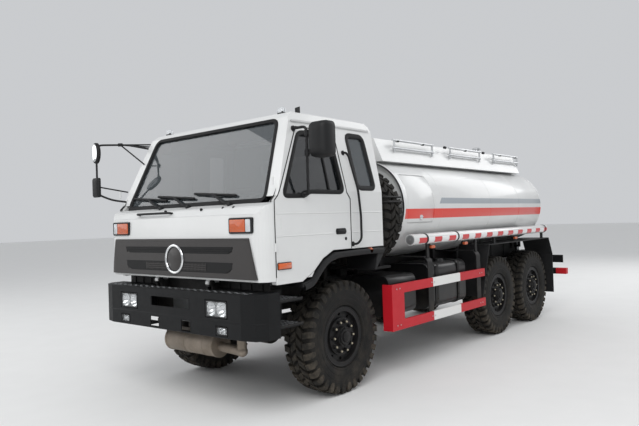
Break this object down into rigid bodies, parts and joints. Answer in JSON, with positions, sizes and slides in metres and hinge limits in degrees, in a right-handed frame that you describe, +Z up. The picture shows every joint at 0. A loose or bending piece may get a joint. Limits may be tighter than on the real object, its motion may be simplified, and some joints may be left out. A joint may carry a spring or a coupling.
{
  "type": "six-wheel-drive cab-over tanker truck",
  "caption": "Cab-over truck with a tilting cab, an oval liquid tank with a raised top deck, driven axles with single tyres, steering front wheels and a spare wheel behind the cab.",
  "frame": {"origin": "on the ground under the middle of the truck, between the bumper and the underrun bar and between the mirrors", "axes": "-Y towards the front, +Y towards the rear, +X towards the left side of the truck, +Z up"},
  "size_m": [2.94, 7.46, 2.722],
  "materials": {
    "frame_black": "satin",
    "axle_black": "satin",
    "engine_metal": "matt",
    "exhaust_metal": "weathered",
    "tank_black": "gloss",
    "bumper_black": "satin",
    "lamp_clear": "clear",
    "black_plastic": "matt",
    "tyre": "matt",
    "wheel_black": "satin",
    "tank_white": "gloss",
    "rail_metal": "satin",
    "guard_red": "gloss",
    "cab_white": "gloss",
    "glass": "clear",
    "grille_grey": "satin",
    "lamp_orange": "gloss",
    "seat_fabric": "woven"
  },
  "bodies": {
    "chassis": {"chassis_frame": "frame_black", "front_axle": "axle_black", "rear_axles": "axle_black", "leaf_springs": "frame_black", "driveline": "axle_black", "engine": "engine_metal", "silencer": "exhaust_metal", "fuel_tank": "tank_black", "side_boxes": "tank_black", "front_bumper": "bumper_black", "chassis_lamps": "lamp_clear", "cab_steps": "bumper_black", "air_intake": "black_plastic", "spare_tyre": "tyre", "spare_rim": "wheel_black", "spare_carrier": "frame_black", "tank_shell": "tank_white", "tank_cradle": "frame_black", "top_deck": "tank_white", "tank_rails": "rail_metal", "rear_ladder": "rail_metal", "outlet": "rail_metal", "side_tubes": "tank_white", "side_guards": "guard_red", "rear_mudguards": "black_plastic", "rear_bumper": "bumper_black"},
    "cab": {"cab_shell": "cab_white", "cab_glass": "glass", "grille": "grille_grey", "cab_lamps": "lamp_orange", "seats": "seat_fabric", "dashboard": "black_plastic", "cab_fenders": "black_plastic", "right_mirror": "black_plastic"},
    "left_door": {"left_door": "cab_white", "left_door_glass": "glass", "left_mirror": "black_plastic"},
    "right_door": {"right_door": "cab_white", "right_door_glass": "glass"},
    "left_knuckle": {"left_knuckle": "axle_black"},
    "right_knuckle": {"right_knuckle": "axle_black"},
    "tie_rod": {"tie_rod": "axle_black"},
    "steering_wheel": {"steering_wheel": "black_plastic"},
    "front_lid": {"front_lid": "rail_metal"},
    "rear_lid": {"rear_lid": "rail_metal"},
    "cabinet_door": {"cabinet_door": "tank_white"},
    "front_left_wheel": {"front_left_tyre": "tyre", "front_left_rim": "wheel_black"},
    "front_right_wheel": {"front_right_tyre": "tyre", "front_right_rim": "wheel_black"},
    "middle_left_wheel": {"middle_left_tyre": "tyre", "middle_left_rim": "wheel_black"},
    "middle_right_wheel": {"middle_right_tyre": "tyre", "middle_right_rim": "wheel_black"},
    "rear_left_wheel": {"rear_left_tyre": "tyre", "rear_left_rim": "wheel_black"},
    "rear_right_wheel": {"rear_right_tyre": "tyre", "rear_right_rim": "wheel_black"}
  },
  "joints": [
    {"name": "cab_tilt", "type": "hinge", "parent": "chassis", "child": "cab", "pos_m": [0, -3.565, 1.135], "axis": [1, 0, 0], "range_deg": [0, 45]},
    {"name": "left_door_swing", "type": "hinge", "parent": "cab", "child": "left_door", "pos_m": [1.155, -3.49, 1.7], "axis": [0, 0, -1], "range_deg": [0, 70]},
    {"name": "right_door_swing", "type": "hinge", "parent": "cab", "child": "right_door", "pos_m": [-1.155, -3.49, 1.7], "axis": [0, 0, 1], "range_deg": [0, 70]},
    {"name": "left_steer", "type": "hinge", "parent": "chassis", "child": "left_knuckle", "pos_m": [0.78, -2.49, 0.5425], "axis": [0, 0, 1], "range_deg": [-28, 28]},
    {"name": "right_steer", "type": "hinge", "parent": "chassis", "child": "right_knuckle", "pos_m": [-0.78, -2.49, 0.5425], "axis": [0, 0, 1], "range_deg": [-28, 28]},
    {"name": "tie_rod_swing", "type": "hinge", "parent": "left_knuckle", "child": "tie_rod", "pos_m": [0.7, -2.23, 0.4125], "axis": [0, 0, 1], "range_deg": [-28, 28]},
    {"name": "front_left_spin", "type": "hinge", "parent": "left_knuckle", "child": "front_left_wheel", "pos_m": [0.91, -2.49, 0.5425], "axis": [1, 0, 0], "continuous": true},
    {"name": "front_right_spin", "type": "hinge", "parent": "right_knuckle", "child": "front_right_wheel", "pos_m": [-0.91, -2.49, 0.5425], "axis": [1, 0, 0], "continuous": true},
    {"name": "middle_left_spin", "type": "hinge", "parent": "chassis", "child": "middle_left_wheel", "pos_m": [0.91, 1.01, 0.5425], "axis": [1, 0, 0], "continuous": true},
    {"name": "middle_right_spin", "type": "hinge", "parent": "chassis", "child": "middle_right_wheel", "pos_m": [-0.91, 1.01, 0.5425], "axis": [1, 0, 0], "continuous": true},
    {"name": "rear_left_spin", "type": "hinge", "parent": "chassis", "child": "rear_left_wheel", "pos_m": [0.91, 2.26, 0.5425], "axis": [1, 0, 0], "continuous": true},
    {"name": "rear_right_spin", "type": "hinge", "parent": "chassis", "child": "rear_right_wheel", "pos_m": [-0.91, 2.26, 0.5425], "axis": [1, 0, 0], "continuous": true},
    {"name": "front_lid_swing", "type": "hinge", "parent": "chassis", "child": "front_lid", "pos_m": [0, -0.672, 2.641], "axis": [1, 0, 0], "range_deg": [0, 100]},
    {"name": "rear_lid_swing", "type": "hinge", "parent": "chassis", "child": "rear_lid", "pos_m": [0, 0.828, 2.641], "axis": [1, 0, 0], "range_deg": [0, 100]},
    {"name": "cabinet_door_lift", "type": "hinge", "parent": "chassis", "child": "cabinet_door", "pos_m": [0.985, -1.09, 2.142], "axis": [0, -1, 0], "range_deg": [0, 95]},
    {"name": "steering_wheel_turn", "type": "hinge", "parent": "cab", "child": "steering_wheel", "pos_m": [0.66, -3.13, 1.83], "axis": [0, 0.4226, 0.9063], "range_deg": [-448, 448]}
  ],
  "couplings": [
    {"joint": "right_steer", "follows": "left_steer", "ratio": 1},
    {"joint": "tie_rod_swing", "follows": "left_steer", "ratio": -1},
    {"joint": "steering_wheel_turn", "follows": "left_steer", "ratio": 16}
  ]
}
